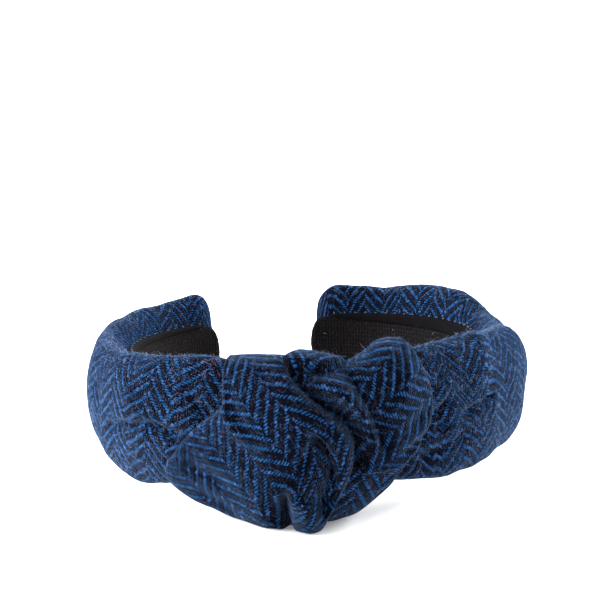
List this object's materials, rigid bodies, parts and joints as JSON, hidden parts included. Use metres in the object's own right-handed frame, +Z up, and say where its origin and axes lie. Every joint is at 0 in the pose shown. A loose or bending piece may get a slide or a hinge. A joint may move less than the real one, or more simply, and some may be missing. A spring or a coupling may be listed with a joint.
{
  "type": "knotted headband",
  "caption": "Padded C-shaped headband in herringbone tweed with a tied knot off-centre at the front, a knit lining, and two legs that flex open on a plastic band.",
  "frame": {"origin": "on the table, under the middle of the headband's footprint as it lies at rest", "axes": "+Z up from the table, -Y towards the knot, +X towards the wearer's left when the knot faces forward"},
  "size_m": [0.158, 0.1604, 0.0566],
  "materials": {
    "tweed": "brushed wool tweed in a herringbone of blue over near-black",
    "knit": "matt black rib knit",
    "ribbon": "smooth black ribbon",
    "band_plastic": "moulded black plastic",
    "padding": "soft off-white padding",
    "thread": "dark sewing thread"
  },
  "bodies": {
    "crown": {"crown_core": "band_plastic", "crown_foam": "padding", "crown_cover_left": "tweed", "crown_cover_right": "tweed", "crown_lining": "knit", "crown_ribbon": "ribbon", "crown_stitches": "thread", "knot_wadding": "padding", "knot_front_lobe": "tweed", "knot_right_lobe": "tweed", "knot_under_lobe": "tweed", "knot_inner_ply": "tweed", "knot_top_tuck": "tweed", "knot_stitches": "thread"},
    "left_leg": {"left_core": "band_plastic", "left_foam": "padding", "left_cover": "tweed", "left_lining": "knit", "left_ribbon": "ribbon", "left_tip_cap": "knit", "left_stitches": "thread"},
    "right_leg": {"right_core": "band_plastic", "right_foam": "padding", "right_cover": "tweed", "right_lining": "knit", "right_ribbon": "ribbon", "right_tip_cap": "knit", "right_stitches": "thread"}
  },
  "joints": [
    {"name": "left_leg_flex", "type": "hinge", "parent": "crown", "child": "left_leg", "pos_m": [-0.05402, -0.02258, 0.0261], "axis": [0, 0.0684, 0.9977], "range_deg": [-4, 12], "stiffness_Nm_per_rad": 0.95},
    {"name": "right_leg_flex", "type": "hinge", "parent": "crown", "child": "right_leg", "pos_m": [0.05402, -0.02258, 0.0261], "axis": [0, -0.0684, -0.9977], "range_deg": [-4, 12], "stiffness_Nm_per_rad": 0.95}
  ]
}
